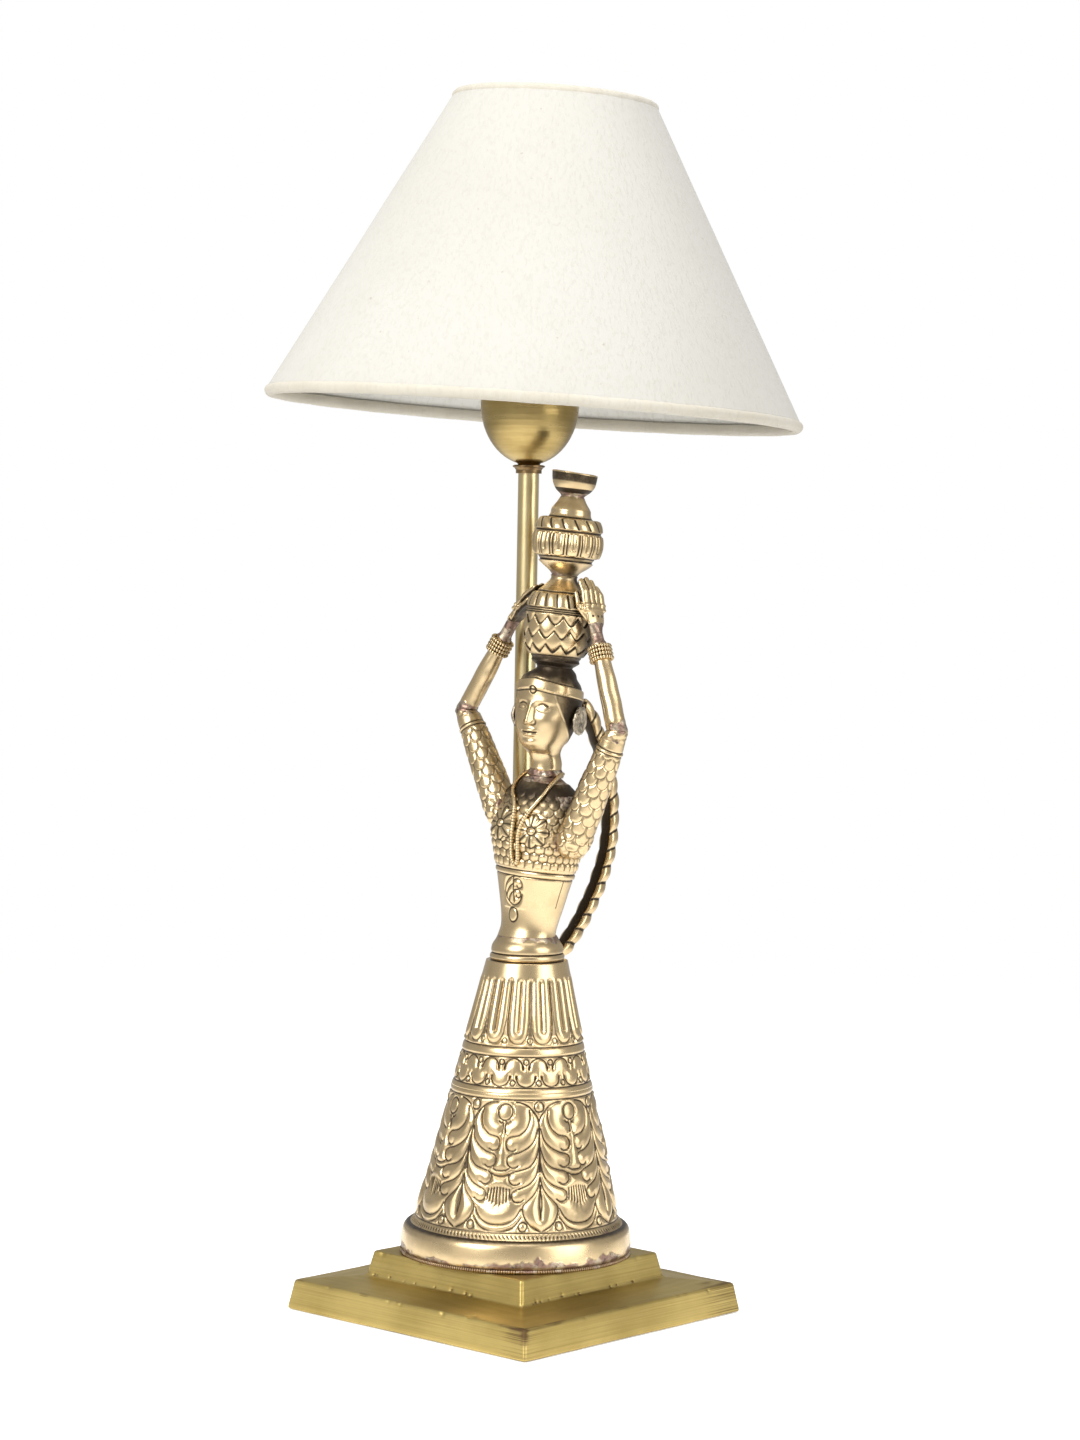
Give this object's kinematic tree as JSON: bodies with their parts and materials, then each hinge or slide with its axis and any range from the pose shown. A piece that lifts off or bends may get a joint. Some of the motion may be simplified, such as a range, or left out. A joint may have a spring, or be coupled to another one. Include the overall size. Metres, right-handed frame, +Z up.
{
  "type": "table lamp",
  "caption": "Table lamp: stepped square base, figure in a flared skirt with two pots, tube pole, round cup and a tilting cone shade.",
  "frame": {"origin": "centre of the square base on the surface that it stands on", "axes": "+Z up, the figure faces -Y, its left hand is on the +X side"},
  "size_m": [0.2574, 0.2574, 0.5786],
  "materials": {
    "satin_brass": "brushed satin, lacquered",
    "antique_brass": "antique: burnished high spots over dark brown patina",
    "dark_brass": "dark oxidised",
    "plain_brass": "plain turned",
    "pale_solder": "rough, silvery",
    "plated_steel": "zinc plated",
    "dark_bakelite": "moulded, satin",
    "white_ceramic": "glazed",
    "lead_sheath": "smooth",
    "felt": "pressed felt",
    "linen": "slub linen, plain weave",
    "lining": "smooth white laminate",
    "opal_glass": "opal white"
  },
  "bodies": {
    "stand": {"base_casting": "satin_brass", "base_felt": "felt", "bottom_plate": "plated_steel", "plate_screws": "plated_steel", "cord_bush": "dark_bakelite", "terminal_block": "white_ceramic", "inner_lead": "lead_sheath", "pole_tube": "satin_brass", "pole_nuts": "plated_steel", "pole_washers": "plated_steel", "cup_collar": "satin_brass", "holder_cup": "satin_brass", "cup_nut": "plated_steel", "holder_base": "dark_bakelite", "holder_shell": "dark_bakelite", "holder_core": "white_ceramic", "screw_liner": "plain_brass", "centre_contact": "plain_brass", "skirt": "antique_brass", "skirt_foot": "antique_brass", "foot_bead_wire": "dark_brass", "waist_collar": "antique_brass", "skirt_bridge": "plated_steel", "skirt_stud": "plated_steel", "skirt_nut": "plated_steel", "torso": "antique_brass", "head": "antique_brass", "lower_pot": "antique_brass", "upper_pot": "antique_brass", "pot_bowl": "antique_brass", "upper_arm_left": "antique_brass", "upper_arm_right": "antique_brass", "forearm_left": "antique_brass", "forearm_right": "antique_brass", "hand_left": "antique_brass", "hand_right": "antique_brass", "bangles_left": "antique_brass", "bangles_right": "antique_brass", "necklace": "antique_brass", "braid": "antique_brass", "earring_left": "pale_solder", "earring_right": "pale_solder"},
    "gimbal": {"tilt_ring": "plain_brass", "tilt_pins": "plated_steel"},
    "shade": {"carrier_ring": "plain_brass", "shade_spider": "plated_steel", "shade_bottom_wire": "plated_steel", "shade_cover": "linen", "shade_lining": "lining", "shade_hems": "linen"},
    "ring": {"retaining_ring": "dark_bakelite"},
    "bulb": {"bulb_cap": "plated_steel", "bulb_globe": "opal_glass"}
  },
  "joints": [
    {"name": "shade_turn", "type": "hinge", "parent": "stand", "child": "gimbal", "pos_m": [-0.0225, 0.0242, 0.4504], "axis": [0, 0, 1], "continuous": true},
    {"name": "shade_tilt", "type": "hinge", "parent": "gimbal", "child": "shade", "pos_m": [-0.0225, 0.0242, 0.4504], "axis": [-0.673, 0.7396, 0], "range_deg": [-11, 5]},
    {"name": "ring_turn", "type": "hinge", "parent": "stand", "child": "ring", "pos_m": [-0.0225, 0.0242, 0.4504], "axis": [0, 0, 1], "continuous": true},
    {"name": "bulb_lift", "type": "slide", "parent": "stand", "child": "bulb", "axis": [0, 0, 1], "range_m": [0, 0.16]}
  ]
}
